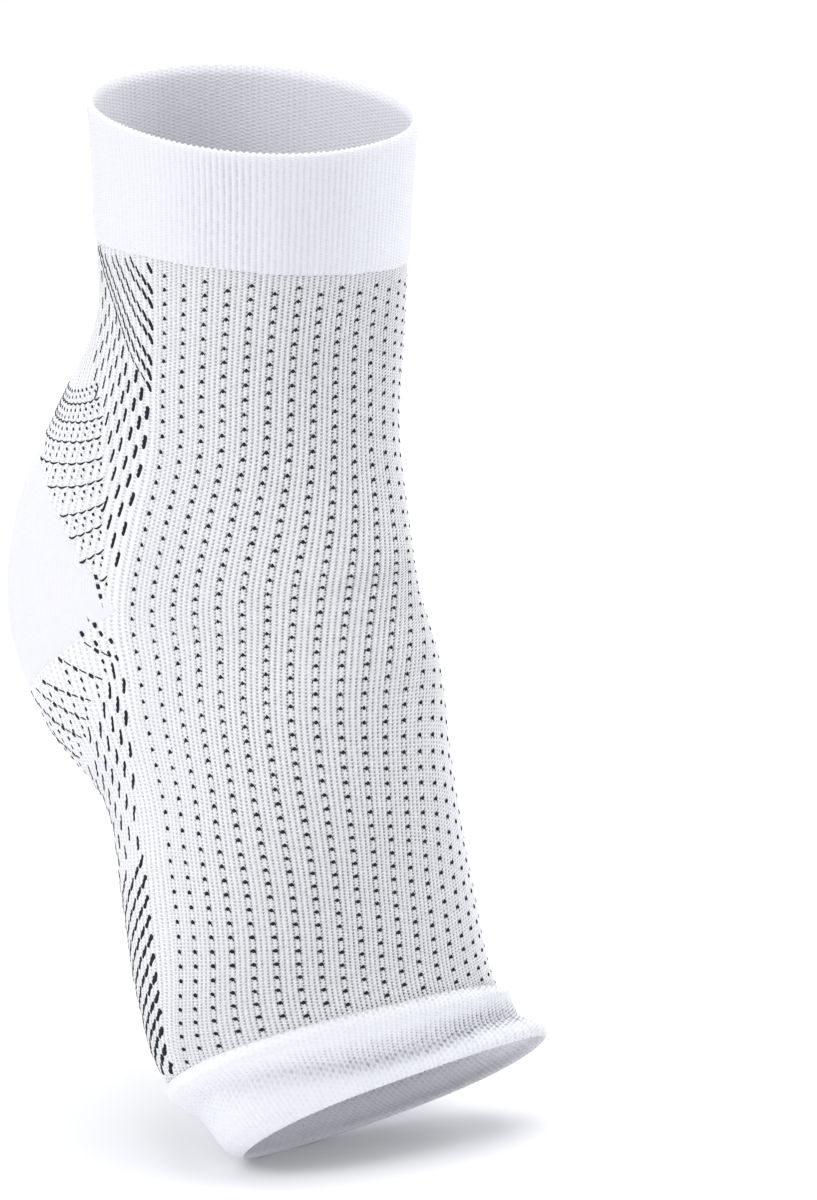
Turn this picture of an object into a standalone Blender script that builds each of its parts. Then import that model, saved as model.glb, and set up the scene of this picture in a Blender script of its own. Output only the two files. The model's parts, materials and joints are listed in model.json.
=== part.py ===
"""A toe-less knitted ankle sock in its worn form, with the heel raised.

Metres, +Z up along the shaft, the open toe end towards -Y and down, the outer side towards -X.
The origin lies in the middle of the hollow, where the shaft turns into the sloping lower part.
"""
import math
from collections import namedtuple

import bmesh
import bpy
import numpy as np

# Heights and lengths along the shaft and along the sloping lower part
SHAFT_HEIGHT = 0.1305
CUFF_HEIGHT = 0.037
FOOT_LENGTH = 0.132
BAND_WIDTH = 0.017
FOOT_PITCH = math.radians(60.0)

# Depths and widths across the hollow: the shaft, the heel with the instep, and the lower part
LEG_DEPTH = 0.084
LEG_WIDTH = 0.076
INSTEP_REACH = 0.051
HEEL_REACH = 0.094
HEEL_WIDTH = 0.072
FOOT_DEPTH = 0.060
FOOT_WIDTH = 0.092

# Walls of the four knitted pieces, and how far the two elastic edges swell past the sleeve
SLEEVE_WALL = 0.0012
POCKET_WALL = 0.0016
CUFF_WALL = 0.0020
CUFF_SWELL = 0.0007
BAND_WALL = 0.0018
BAND_SWELL = 0.0012
GAP = 0.0003

# The heel pocket, seen from the side: its front corner, the slopes of its two gore lines,
# and the height at which the upper line turns level round the back
POCKET_CORNER = 0.016
POCKET_LIFT = -0.0015
POCKET_TOP = 0.033
UPPER_SLOPE = math.radians(40.0)
LOWER_SLOPE = math.radians(35.0)
TOP_SLOPE = math.radians(6.0)

# How finely the walls are faceted
RING_POINTS = 60
CUFF_RINGS = 6
SLEEVE_RINGS = 29
BAND_RINGS = 7
OUTLINE_STEPS = 720

# Each section is a rounded oval across the hollow. Columns: place along its part, tilt in
# degrees of its front edge above the level, reach to the front and to the back of the axis, width,
# squareness of the oval, rise and lead of the inner side per metre of width, and sideways shift.
Section = namedtuple("Section", "place tilt front back width square rise lead shift")

# Places are shares of SHAFT_HEIGHT, front and back of LEG_DEPTH, width of LEG_WIDTH
LEG_SECTIONS = (
    Section(1.00, -5.0, 0.510, 0.510, 1.04, 2.15, 0.02, 0.00, 0.00),
    Section(0.88, -2.0, 0.500, 0.505, 1.02, 2.15, -0.05, 0.00, 0.00),
    Section(0.71, 1.5, 0.480, 0.500, 1.00, 2.15, -0.12, 0.00, 0.00),
    Section(0.55, 0.5, 0.475, 0.525, 0.97, 2.15, -0.05, 0.00, 0.00),
)

# Places are shares of SHAFT_HEIGHT, front of INSTEP_REACH, back of HEEL_REACH, width of HEEL_WIDTH
HEEL_SECTIONS = (
    Section(0.350, 3.0, 0.81, 0.690, 1.01, 2.10, 0.00, 0.00, 0.00),
    Section(0.180, 9.0, 0.90, 0.900, 1.01, 2.10, 0.00, 0.00, 0.00),
    Section(0.023, 17.0, 1.00, 0.990, 1.00, 2.10, 0.00, 0.00, 0.00),
)

# Places are shares of FOOT_LENGTH, front and back of FOOT_DEPTH, width and shift of FOOT_WIDTH
FOOT_SECTIONS = (
    Section(0.106, 26.0, 0.81, 1.51, 0.77, 2.10, 0.00, 0.00, 0.000),
    Section(0.273, 31.0, 0.71, 1.21, 0.80, 2.15, 0.00, 0.05, -0.008),
    Section(0.470, 34.0, 0.48, 1.16, 0.89, 2.20, -0.01, 0.10, -0.035),
    Section(0.680, 35.0, 0.23, 1.10, 0.96, 2.30, -0.02, 0.16, -0.058),
    Section(0.871, 36.0, -0.03, 0.97, 0.97, 2.40, 0.00, 0.24, -0.047),
    Section(1.000, 44.0, -0.20, 0.76, 0.87, 2.40, 0.17, 0.36, 0.075),
)

# How each elastic edge swells from its joint with the sleeve, at 0, to its free edge, at 1
CUFF_PROFILE = ((0.00, 0.3), (0.12, 0.8), (0.45, 0.5), (0.80, 0.8), (0.95, 1.0), (1.00, 0.8))
BAND_PROFILE = ((0.00, 0.2), (0.18, 0.8), (0.38, 0.5), (0.60, 0.1), (0.84, 1.0), (1.00, 0.6))

CUFF_COLOUR = (0.86, 0.87, 0.90)
SLEEVE_COLOUR = (0.78, 0.79, 0.83)
POCKET_COLOUR = (0.88, 0.89, 0.92)
BAND_COLOUR = (0.84, 0.85, 0.89)
KNIT_ROUGHNESS = 0.85


def clear_scene():
    """Start from nothing."""
    for item in list(bpy.data.objects):
        bpy.data.objects.remove(item, do_unlink=True)


def knit_material(name, colour):
    """Matt white yarn."""
    material = bpy.data.materials.new(name)
    material.use_nodes = True
    shader = material.node_tree.nodes["Principled BSDF"]
    shader.inputs["Base Color"].default_value = (*colour, 1.0)
    shader.inputs["Roughness"].default_value = KNIT_ROUGHNESS
    shader.inputs["Metallic"].default_value = 0.0
    return material


def section_values():
    """Each section's distance along the sock and its sizes in metres, from toe end to rim."""
    rows = []
    for part in LEG_SECTIONS:
        height = part.place * SHAFT_HEIGHT
        rows.append((height, 0.0, height, part.tilt, part.front * LEG_DEPTH, part.back * LEG_DEPTH,
                     part.width * LEG_WIDTH / 2, part.square, part.rise, part.lead, 0.0))
    for part in HEEL_SECTIONS:
        height = part.place * SHAFT_HEIGHT
        rows.append((height, 0.0, height, part.tilt, part.front * INSTEP_REACH,
                     part.back * HEEL_REACH, part.width * HEEL_WIDTH / 2, part.square,
                     part.rise, part.lead, 0.0))
    for part in FOOT_SECTIONS:
        reach = part.place * FOOT_LENGTH
        rows.append((-reach, -reach * math.cos(FOOT_PITCH), -reach * math.sin(FOOT_PITCH),
                     part.tilt, part.front * FOOT_DEPTH, part.back * FOOT_DEPTH,
                     part.width * FOOT_WIDTH / 2, part.square, part.rise, part.lead,
                     part.shift * FOOT_WIDTH))
    rows.reverse()
    return np.array(rows)


def section_at(rows, along):
    """A smooth cubic blend of the section rows at one distance along the sock."""
    places = rows[:, 0]
    values = rows[:, 1:]
    slopes = np.empty_like(values)
    slopes[1:-1] = (values[2:] - values[:-2]) / (places[2:] - places[:-2])[:, None]
    slopes[0] = (values[1] - values[0]) / (places[1] - places[0])
    slopes[-1] = (values[-1] - values[-2]) / (places[-1] - places[-2])
    low = int(np.clip(np.searchsorted(places, along, side="right") - 1, 0, len(places) - 2))
    span = places[low + 1] - places[low]
    f = (along - places[low]) / span
    return ((2 * f**3 - 3 * f**2 + 1) * values[low]
            + (f**3 - 2 * f**2 + f) * span * slopes[low]
            + (3 * f**2 - 2 * f**3) * values[low + 1]
            + (f**3 - f**2) * span * slopes[low + 1])


def ring_points(rows, along, grow):
    """The points of one oval ring, grown outwards by a distance, starting at the front."""
    y, z, tilt, front, back, half_width, square, rise, lead, shift = section_at(rows, along)
    half_depth = (front + back) / 2 + grow
    middle = (front - back) / 2
    angles = np.linspace(0.0, 2 * math.pi, OUTLINE_STEPS + 1)
    cosines = np.cos(angles)
    sines = np.sin(angles)
    depth = half_depth * np.sign(cosines) * np.abs(cosines) ** (2 / square)
    width = (half_width + grow) * np.sign(sines) * np.abs(sines) ** (2 / square)
    steps = np.hypot(np.diff(width), np.diff(depth))
    lengths = np.concatenate(([0.0], np.cumsum(steps)))
    wanted = np.linspace(0.0, lengths[-1], RING_POINTS, endpoint=False)
    x = np.interp(wanted, lengths, width)
    reach = np.interp(wanted, lengths, depth) + middle
    forward = -math.cos(math.radians(tilt))
    upward = math.sin(math.radians(tilt))
    return np.stack((x + shift, y + forward * reach - x * lead, z + upward * reach + x * rise), axis=1)


def swell_at(profile, share):
    """How far a profile stands out at a share of its length, as a share of its swell."""
    return float(np.interp(share, [place for place, _ in profile], [out for _, out in profile]))


def knitted_tube(name, joint, edge, rings, wall, swell, profile, nose, colour):
    """A closed wall round the hollow, from its joint to its edge, with both ends nosed round."""
    rows = section_values()
    direction = math.copysign(1.0, edge - joint)
    first = joint + direction * nose
    last = edge - direction * nose
    outside = []
    inside = []
    for step in range(rings):
        share = step / (rings - 1)
        along = first + (last - first) * share
        out = swell * swell_at(profile, share)
        outside.append(ring_points(rows, along, out))
        inside.append(ring_points(rows, along, out - wall))
    loops = list(outside)
    if nose > 0:
        end_out = swell * swell_at(profile, 1.0)
        loops.append(ring_points(rows, edge, end_out - wall / 2))
    loops.extend(reversed(inside))
    if nose > 0:
        start_out = swell * swell_at(profile, 0.0)
        loops.append(ring_points(rows, joint, start_out - wall / 2))
    return closed_loops(name, loops, colour)


def closed_loops(name, loops, colour):
    """Join rings, the last one back to the first, into one closed body."""
    mesh = bpy.data.meshes.new(name)
    body = bmesh.new()
    rows = [[body.verts.new(point) for point in ring] for ring in loops]
    for here, above in zip(rows, rows[1:] + rows[:1]):
        for index in range(RING_POINTS):
            after = (index + 1) % RING_POINTS
            body.faces.new((here[index], here[after], above[after], above[index]))
    bmesh.ops.recalc_face_normals(body, faces=body.faces)
    body.to_mesh(mesh)
    body.free()
    return place(name, mesh, colour)


def place(name, mesh, colour):
    """Add a mesh to the scene as an object with its own material, shaded smooth."""
    if colour:
        mesh.materials.append(knit_material(name, colour))
    mesh.shade_smooth()
    item = bpy.data.objects.new(name, mesh)
    bpy.context.scene.collection.objects.link(item)
    return item


def pocket_outline(grow):
    """The heel pocket's outline from the side, as y and z, with its edges moved out by a distance.

    It starts at the front corner, climbs to the knee, and is left open well behind the heel.
    """
    push = grow / math.sin(UPPER_SLOPE + LOWER_SLOPE)
    corner_y = POCKET_CORNER - push * (math.cos(LOWER_SLOPE) + math.cos(UPPER_SLOPE))
    corner_z = POCKET_LIFT + push * (math.sin(LOWER_SLOPE) - math.sin(UPPER_SLOPE))
    climb = (POCKET_TOP - POCKET_LIFT) / math.tan(UPPER_SLOPE)
    knee_y = POCKET_CORNER + climb - grow * math.sin(UPPER_SLOPE)
    knee_z = POCKET_TOP + grow * math.cos(UPPER_SLOPE)
    behind = HEEL_REACH + LEG_DEPTH
    top_z = knee_z + (behind - knee_y) * math.tan(TOP_SLOPE)
    bottom_z = corner_z - (behind - corner_y) * math.tan(LOWER_SLOPE)
    return ((corner_y, corner_z), (knee_y, knee_z), (behind, top_z), (behind, bottom_z))


def pocket_cutter(name, grow):
    """A prism along X of the pocket's outline, which parts the pocket from the sleeve."""
    mesh = bpy.data.meshes.new(name)
    body = bmesh.new()
    outline = pocket_outline(grow)
    face = body.faces.new([body.verts.new((-FOOT_WIDTH, y, z)) for y, z in outline])
    pushed = bmesh.ops.extrude_face_region(body, geom=[face])
    moved = [part for part in pushed["geom"] if isinstance(part, bmesh.types.BMVert)]
    bmesh.ops.translate(body, verts=moved, vec=(2 * FOOT_WIDTH, 0.0, 0.0))
    bmesh.ops.recalc_face_normals(body, faces=body.faces)
    body.to_mesh(mesh)
    body.free()
    cutter = place(name, mesh, None)
    cutter.display_type = "WIRE"
    cutter.hide_render = True
    return cutter


def cut_with(item, cutter, operation):
    """Cut an object by a cutter with an exact Boolean."""
    cut = item.modifiers.new(operation.lower(), "BOOLEAN")
    cut.operation = operation
    cut.solver = "EXACT"
    cut.object = cutter


def build_sock():
    """The cuff, the sleeve with its heel pocket set in, and the toe band."""
    flat = ((0.0, 0.0), (1.0, 0.0))
    cuff_joint = SHAFT_HEIGHT - CUFF_HEIGHT
    band_joint = BAND_WIDTH - FOOT_LENGTH
    knitted_tube("ankle_cuff", cuff_joint + GAP, SHAFT_HEIGHT, CUFF_RINGS, CUFF_WALL, CUFF_SWELL,
                 CUFF_PROFILE, CUFF_WALL / 3, CUFF_COLOUR)
    sleeve = knitted_tube("knit_sleeve", cuff_joint, band_joint, SLEEVE_RINGS, SLEEVE_WALL, 0.0,
                          flat, 0.0, SLEEVE_COLOUR)
    pocket = knitted_tube("heel_pocket", cuff_joint, band_joint, SLEEVE_RINGS, POCKET_WALL, 0.0,
                          flat, 0.0, POCKET_COLOUR)
    knitted_tube("toe_band", band_joint - GAP, -FOOT_LENGTH, BAND_RINGS, BAND_WALL, BAND_SWELL,
                 BAND_PROFILE, BAND_WALL / 3, BAND_COLOUR)
    cut_with(sleeve, pocket_cutter("sleeve_cutter", GAP), "DIFFERENCE")
    cut_with(pocket, pocket_cutter("pocket_cutter", 0.0), "INTERSECT")


clear_scene()
build_sock()
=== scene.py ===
"""The look of a toe-less knitted ankle sock in its worn form, with the heel raised.

Metres, +Z up along the shaft, the open toe end towards -Y and down, the outer side towards -X.
A place on the knit is given by its station, the distance along the sock (up the shaft positive,
towards the toe end negative), and its turn, the share of the way round from the front.
"""
import json
import math
from collections import namedtuple

import bmesh
import bpy
import numpy as np
from mathutils import Matrix, Vector

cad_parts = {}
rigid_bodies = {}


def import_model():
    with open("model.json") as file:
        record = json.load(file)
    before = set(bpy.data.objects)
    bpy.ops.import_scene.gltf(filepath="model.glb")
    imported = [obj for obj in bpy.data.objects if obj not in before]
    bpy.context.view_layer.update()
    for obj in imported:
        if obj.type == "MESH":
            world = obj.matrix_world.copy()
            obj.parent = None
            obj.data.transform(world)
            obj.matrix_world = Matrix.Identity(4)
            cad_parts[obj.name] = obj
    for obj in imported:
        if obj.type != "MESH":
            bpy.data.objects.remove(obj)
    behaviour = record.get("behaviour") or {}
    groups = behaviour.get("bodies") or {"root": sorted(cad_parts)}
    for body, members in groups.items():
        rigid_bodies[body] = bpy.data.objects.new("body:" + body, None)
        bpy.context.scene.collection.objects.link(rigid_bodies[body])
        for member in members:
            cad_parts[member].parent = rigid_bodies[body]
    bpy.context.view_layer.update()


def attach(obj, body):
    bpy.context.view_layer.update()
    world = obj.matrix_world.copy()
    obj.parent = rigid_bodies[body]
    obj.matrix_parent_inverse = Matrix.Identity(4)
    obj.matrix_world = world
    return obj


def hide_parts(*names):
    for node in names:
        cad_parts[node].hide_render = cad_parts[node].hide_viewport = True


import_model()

if bpy.ops.object.select_all.poll():
    bpy.ops.object.select_all(action="DESELECT")


# THE ANKLE CUFF
# A doubled elastic welt: plain white knit with fine upright ribs, folded over at the rim so that
# the rim is a soft round edge. It is closely knitted, and stands out from the sleeve below it.

# The worn form, as in the solids, in metres along and across the shaft, heel and lower part
SHAFT_HEIGHT = 0.1305
CUFF_HEIGHT = 0.037
FOOT_LENGTH = 0.132
BAND_WIDTH = 0.017
FOOT_PITCH = math.radians(60.0)
LEG_DEPTH = 0.084
LEG_WIDTH = 0.076
INSTEP_REACH = 0.051
HEEL_REACH = 0.094
HEEL_WIDTH = 0.072
FOOT_DEPTH = 0.060
FOOT_WIDTH = 0.092
OUTLINE_STEPS = 720

# Each section is a rounded oval across the hollow. Columns: place along its part, tilt in degrees
# of its front edge, reach to the front and the back of the axis, width, squareness, rise and lead
# of the inner side, and sideways shift, lengths as shares of the sizes above
Section = namedtuple("Section", "place tilt front back width square rise lead shift")
LEG_SECTIONS = (
    Section(1.00, -5.0, 0.510, 0.510, 1.04, 2.15, 0.02, 0.00, 0.00),
    Section(0.88, -2.0, 0.500, 0.505, 1.02, 2.15, -0.05, 0.00, 0.00),
    Section(0.71, 1.5, 0.480, 0.500, 1.00, 2.15, -0.12, 0.00, 0.00),
    Section(0.55, 0.5, 0.475, 0.525, 0.97, 2.15, -0.05, 0.00, 0.00),
)
HEEL_SECTIONS = (
    Section(0.350, 3.0, 0.81, 0.690, 1.01, 2.10, 0.00, 0.00, 0.00),
    Section(0.180, 9.0, 0.90, 0.900, 1.01, 2.10, 0.00, 0.00, 0.00),
    Section(0.023, 17.0, 1.00, 0.990, 1.00, 2.10, 0.00, 0.00, 0.00),
)
FOOT_SECTIONS = (
    Section(0.106, 26.0, 0.81, 1.51, 0.77, 2.10, 0.00, 0.00, 0.000),
    Section(0.273, 31.0, 0.71, 1.21, 0.80, 2.15, 0.00, 0.05, -0.008),
    Section(0.470, 34.0, 0.48, 1.16, 0.89, 2.20, -0.01, 0.10, -0.035),
    Section(0.680, 35.0, 0.23, 1.10, 0.96, 2.30, -0.02, 0.16, -0.058),
    Section(0.871, 36.0, -0.03, 0.97, 0.97, 2.40, 0.00, 0.24, -0.047),
    Section(1.000, 44.0, -0.20, 0.76, 0.87, 2.40, 0.17, 0.36, 0.075),
)


def section_rows():
    """Each section's station and its sizes in metres, from the toe end to the rim."""
    rows = []
    for part in LEG_SECTIONS:
        height = part.place * SHAFT_HEIGHT
        rows.append((height, 0.0, height, part.tilt, part.front * LEG_DEPTH, part.back * LEG_DEPTH,
                     part.width * LEG_WIDTH / 2, part.square, part.rise, part.lead, 0.0))
    for part in HEEL_SECTIONS:
        height = part.place * SHAFT_HEIGHT
        rows.append((height, 0.0, height, part.tilt, part.front * INSTEP_REACH,
                     part.back * HEEL_REACH, part.width * HEEL_WIDTH / 2, part.square,
                     part.rise, part.lead, 0.0))
    for part in FOOT_SECTIONS:
        reach = part.place * FOOT_LENGTH
        rows.append((-reach, -reach * math.cos(FOOT_PITCH), -reach * math.sin(FOOT_PITCH),
                     part.tilt, part.front * FOOT_DEPTH, part.back * FOOT_DEPTH,
                     part.width * FOOT_WIDTH / 2, part.square, part.rise, part.lead,
                     part.shift * FOOT_WIDTH))
    rows.reverse()
    return np.array(rows)


FORM = section_rows()


def section_at(station):
    """A smooth cubic blend of the form's sections at one station."""
    places = FORM[:, 0]
    values = FORM[:, 1:]
    slopes = np.empty_like(values)
    slopes[1:-1] = (values[2:] - values[:-2]) / (places[2:] - places[:-2])[:, None]
    slopes[0] = (values[1] - values[0]) / (places[1] - places[0])
    slopes[-1] = (values[-1] - values[-2]) / (places[-1] - places[-2])
    low = int(np.clip(np.searchsorted(places, station, side="right") - 1, 0, len(places) - 2))
    span = places[low + 1] - places[low]
    f = (station - places[low]) / span
    return ((2 * f**3 - 3 * f**2 + 1) * values[low]
            + (f**3 - 2 * f**2 + f) * span * slopes[low]
            + (3 * f**2 - 2 * f**3) * values[low + 1]
            + (f**3 - f**2) * span * slopes[low + 1])


def ring(station, turns):
    """Points of the form at one station, at shares of the way round from the front."""
    y, z, tilt, front, back, half_width, square, rise, lead, shift = section_at(station)
    angles = np.linspace(0.0, 2 * math.pi, OUTLINE_STEPS + 1)
    depth = (front + back) / 2 * np.sign(np.cos(angles)) * np.abs(np.cos(angles)) ** (2 / square)
    width = half_width * np.sign(np.sin(angles)) * np.abs(np.sin(angles)) ** (2 / square)
    steps = np.hypot(np.diff(width), np.diff(depth))
    lengths = np.concatenate(([0.0], np.cumsum(steps)))
    wanted = np.mod(turns, 1.0) * lengths[-1]
    x = np.interp(wanted, lengths, width)
    reach = np.interp(wanted, lengths, depth) + (front - back) / 2
    forward = -math.cos(math.radians(tilt))
    upward = math.sin(math.radians(tilt))
    return np.stack((x + shift, y + forward * reach - x * lead, z + upward * reach + x * rise), axis=1)


def unit(vectors):
    """Vectors with their length made one."""
    return vectors / np.linalg.norm(vectors, axis=-1, keepdims=True)


def knit_places(wales, courses, plain=0.0):
    """The wale, the course and how plain the knit is, that is how far the stitches' painted shade is
    faded, over a net of wales and courses.
    """
    net_wales, net_courses = np.meshgrid(wales, courses)
    return np.stack((net_wales, net_courses, plain + 0.0 * net_wales), axis=2)


def grid_mesh(name, points, knit, closed):
    """A quad mesh over rows of points that run from the rim towards the toe end.

    knit holds the places of the points on the knit, with one more column where the rows close.
    """
    count, wide = points.shape[:2]
    row = np.arange(count - 1)[:, None]
    column = np.arange(wide if closed else wide - 1)[None, :]
    after = (column + 1) % wide
    faces = np.stack((row * wide + column, (row + 1) * wide + column,
                      (row + 1) * wide + after, row * wide + after), axis=2).reshape(-1, 4)
    mesh = bpy.data.meshes.new(name)
    mesh.from_pydata(points.reshape(-1, 3).tolist(), [], faces.tolist())
    stride = knit.shape[1]
    corners = np.stack((row * stride + column, (row + 1) * stride + column,
                        (row + 1) * stride + column + 1, row * stride + column + 1), axis=2)
    values = knit.reshape(-1, 3)[corners.reshape(-1)].astype(np.float32)
    layer = mesh.attributes.new("knit", "FLOAT_VECTOR", "CORNER")
    layer.data.foreach_set("vector", values.reshape(-1))
    mesh.shade_smooth()
    return mesh


def add_piece(name, mesh, material):
    """Put a mesh into the scene as a piece that rides on the sock's one body."""
    mesh.materials.append(material)
    piece = bpy.data.objects.new(name, mesh)
    bpy.context.scene.collection.objects.link(piece)
    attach(piece, "root")
    return piece


def shader_math(tree, operation, first, second=None):
    """One maths node, fed by sockets or plain numbers."""
    node = tree.nodes.new("ShaderNodeMath")
    node.operation = operation
    for socket, value in zip(node.inputs, (first, second)):
        if value is None:
            continue
        if isinstance(value, (int, float)):
            socket.default_value = value
        else:
            tree.links.new(value, socket)
    return node.outputs[0]


def knit_material(name, colour, groove_shade, hole_shade, stitch_shade, course_depth, stitch_slope):
    """White yarn in V stitches with painted shade: darker down the grooves between wales and between
    stitches, with a pin hole a course that is partly a real hole and partly painted shade.

    The corner attribute "knit" holds the wale, the course and how plain the knit is there, which fades
    the painted shade, and deepens it below 0.
    """
    material = bpy.data.materials.new(name)
    material.use_nodes = True
    tree = material.node_tree
    surface = tree.nodes["Principled BSDF"]
    surface.inputs["Roughness"].default_value = 0.9
    surface.inputs["Specular IOR Level"].default_value = 0.15
    surface.inputs["Sheen Weight"].default_value = 0.25
    surface.inputs["Sheen Roughness"].default_value = 0.5
    place = tree.nodes.new("ShaderNodeAttribute")
    place.attribute_name = "knit"
    split = tree.nodes.new("ShaderNodeSeparateXYZ")
    tree.links.new(place.outputs["Vector"], split.inputs[0])
    wale = split.outputs[0]
    course = split.outputs[1]
    turn = shader_math(tree, "MULTIPLY", wale, 2 * math.pi)
    swing = shader_math(tree, "COSINE", turn)
    groove = shader_math(tree, "MULTIPLY", shader_math(tree, "SUBTRACT", 1.0, swing), 0.5)
    groove = shader_math(tree, "POWER", groove, 3.0)
    lag = shader_math(tree, "MULTIPLY", swing, stitch_slope)
    whole = shader_math(tree, "FLOOR", shader_math(tree, "ADD", wale, 200.0))
    odd = shader_math(tree, "MODULO", whole, 2.0)
    lag = shader_math(tree, "ADD", lag, shader_math(tree, "MULTIPLY", odd, 0.5))
    phase = shader_math(tree, "MULTIPLY", shader_math(tree, "ADD", course, lag), 2 * math.pi)
    beat = shader_math(tree, "COSINE", phase)
    gap = shader_math(tree, "MULTIPLY", shader_math(tree, "ADD", beat, 1.0), 0.5)
    gap = shader_math(tree, "POWER", gap, 1.6)
    hole = shader_math(tree, "MULTIPLY", groove, gap)
    # Painted shade: the base colour darkens down the grooves, in the gaps between stitches and in the
    # pin holes, standing in for the shade that falls there.
    shade = shader_math(tree, "MULTIPLY", groove, groove_shade)
    shade = shader_math(tree, "ADD", shade, shader_math(tree, "MULTIPLY", hole, hole_shade))
    shade = shader_math(tree, "ADD", shade, shader_math(tree, "MULTIPLY", gap, stitch_shade))
    where = tree.nodes.new("ShaderNodeTexCoord")
    uneven = tree.nodes.new("ShaderNodeTexNoise")
    uneven.inputs["Scale"].default_value = 700.0
    uneven.inputs["Detail"].default_value = 1.0
    tree.links.new(where.outputs["Object"], uneven.inputs["Vector"])
    change = shader_math(tree, "MULTIPLY", uneven.outputs[0], 2.4)
    change = shader_math(tree, "SUBTRACT", change, 0.2)
    shade = shader_math(tree, "MULTIPLY", shade, change)
    strength = shader_math(tree, "SUBTRACT", 1.0, split.outputs[2])
    shade = shader_math(tree, "MULTIPLY", shade, strength)
    shade = shader_math(tree, "SUBTRACT", 1.0, shade)
    tint = tree.nodes.new("ShaderNodeVectorMath")
    tint.operation = "SCALE"
    tint.inputs[0].default_value = colour
    tree.links.new(shade, tint.inputs["Scale"])
    tree.links.new(tint.outputs[0], surface.inputs["Base Color"])
    yarn = tree.nodes.new("ShaderNodeTexNoise")
    yarn.inputs["Scale"].default_value = 1600.0
    yarn.inputs["Detail"].default_value = 2.0
    tree.links.new(where.outputs["Object"], yarn.inputs["Vector"])
    height = shader_math(tree, "MULTIPLY", beat, -0.5)
    height = shader_math(tree, "ADD", height, shader_math(tree, "MULTIPLY", yarn.outputs[0], 0.5))
    height = shader_math(tree, "SUBTRACT", height, hole)
    bump = tree.nodes.new("ShaderNodeBump")
    bump.inputs["Strength"].default_value = 1.0
    bump.inputs["Distance"].default_value = course_depth
    tree.links.new(height, bump.inputs["Height"])
    tree.links.new(bump.outputs[0], surface.inputs["Normal"])
    return material


# The cuff's own sizes: its ribs, its swell past the form and its doubled wall
CUFF_RIBS = 156
RIB_POINTS = 5
RIB_HEIGHT = 0.00013
CUFF_WALL = 0.0020
CUFF_SWELL = 0.0009
RIM_LIFT = 0.00025
HANG_UNEVEN = 0.0003
CUFF_ROWS = 34
CUFF_COURSE = 0.00085
# Columns: share of the way from the sleeve to the rim, and the swell there
CUFF_PROFILE = ((0.00, 0.10), (0.02, 0.40), (0.07, 0.66), (0.16, 0.72), (0.26, 0.66), (0.29, 0.52),
                (0.33, 0.66), (0.50, 0.60), (0.80, 0.80), (0.93, 1.00), (0.98, 0.75), (1.00, 0.20))
# Columns: share of the way round from the front, and how far in millimetres the welt's lower edge
# hangs over the sleeve there
CUFF_HANG = ((-0.50, 0.3), (-0.30, 0.6), (-0.20, 1.1), (-0.12, 1.7), (-0.03, 1.6), (0.08, 0.9),
             (0.17, 0.3), (0.50, 0.3))


def from_table(table, place, column=1):
    """A column of a table at a place, or at places, between its rows."""
    rows = np.array(table)
    return np.interp(place, rows[:, 0], rows[:, column])


def wavering(wale, course, seed):
    """A slow, smooth unevenness from -1 to 1 over the knit."""
    return (np.sin(wale * 0.83 + course * 0.06 + seed) * 0.4
            + np.sin(wale * 0.31 - course * 0.11 + 2.1 * seed) * 0.35
            + np.sin(wale * 2.17 + course * 0.045 + 0.7 * seed) * 0.25)


def rib_strength(wale):
    """How strong the cuff's ribs are round it: strongest on the outer front, faint elsewhere."""
    turn = (wale / CUFF_RIBS + 0.5) % 1.0 - 0.5
    strong = np.exp(-((turn + 0.155) / 0.04) ** 2)
    middling = np.exp(-((turn + 0.06) / 0.08) ** 2)
    return 0.35 + 0.9 * strong + 0.4 * middling


def build_cuff():
    """The welt's outside from the sleeve to the rim, over the rim and down the inside."""
    columns = np.arange(CUFF_RIBS * RIB_POINTS)
    wale = columns / RIB_POINTS
    closing = np.concatenate((wale, [CUFF_RIBS]))
    turns = wale / CUFF_RIBS
    joint = SHAFT_HEIGHT - CUFF_HEIGHT
    loops = []
    for share in 1.0 - np.linspace(0.0, 1.0, CUFF_ROWS) ** 1.3:
        loops.append((joint + CUFF_HEIGHT * share, share, 1.0))
    inside = []
    for share in np.linspace(1.0, -0.02, CUFF_ROWS // 2):
        inside.append((joint + CUFF_HEIGHT * share, share, -1.0))
    rows = []
    courses = []
    plain = []
    around = (turns + 0.5) % 1.0 - 0.5
    hang = from_table(CUFF_HANG, around) / 1000
    for station, share, side in list(reversed(inside)) + loops:
        course = (station - joint) / CUFF_COURSE
        fade = min(1.0, (1.0 - share) * 5 + 0.30)
        strength = rib_strength(wale) + 0.45 * wavering(wale, course, 1.0)
        rib = np.cos(2 * math.pi * wale) * strength + 0.6 * wavering(wale, course, 4.0)
        swell = CUFF_SWELL * float(from_table(CUFF_PROFILE, share))
        if side < 0:
            swell = swell - CUFF_WALL * min(1.0, 0.35 + (1.0 - share) * 20)
        out = swell + side * RIB_HEIGHT * fade * rib
        lift = RIM_LIFT * np.cos(2 * math.pi * wale) * max(0.0, 1.0 - (1.0 - share) * 30)
        points = ring(station, turns)
        away = points - points.mean(axis=0)
        away[:, 2] = 0.0
        points = points + unit(away) * out[:, None]
        near_edge = max(0.0, 1.0 - 2.5 * share) * (side > 0)
        sag = (hang + HANG_UNEVEN * wavering(wale * 0.45, 0.0, 5.0)) * near_edge
        points[:, 2] = points[:, 2] + lift - sag
        rows.append(points)
        courses.append(course)
        plain.append(1.0 - fade * rib_strength(closing))
    knit = knit_places(closing, courses, np.array(plain))
    mesh = grid_mesh("ankle_cuff_knit", np.array(rows), knit, True)
    material = knit_material("cuff yarn", (0.79, 0.79, 0.83), groove_shade=0.09, hole_shade=0.05,
                             stitch_shade=0.02, course_depth=0.00005, stitch_slope=0.12)
    cuff = add_piece("ankle_cuff_knit", mesh, material)
    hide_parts("ankle_cuff")


build_cuff()


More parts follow.
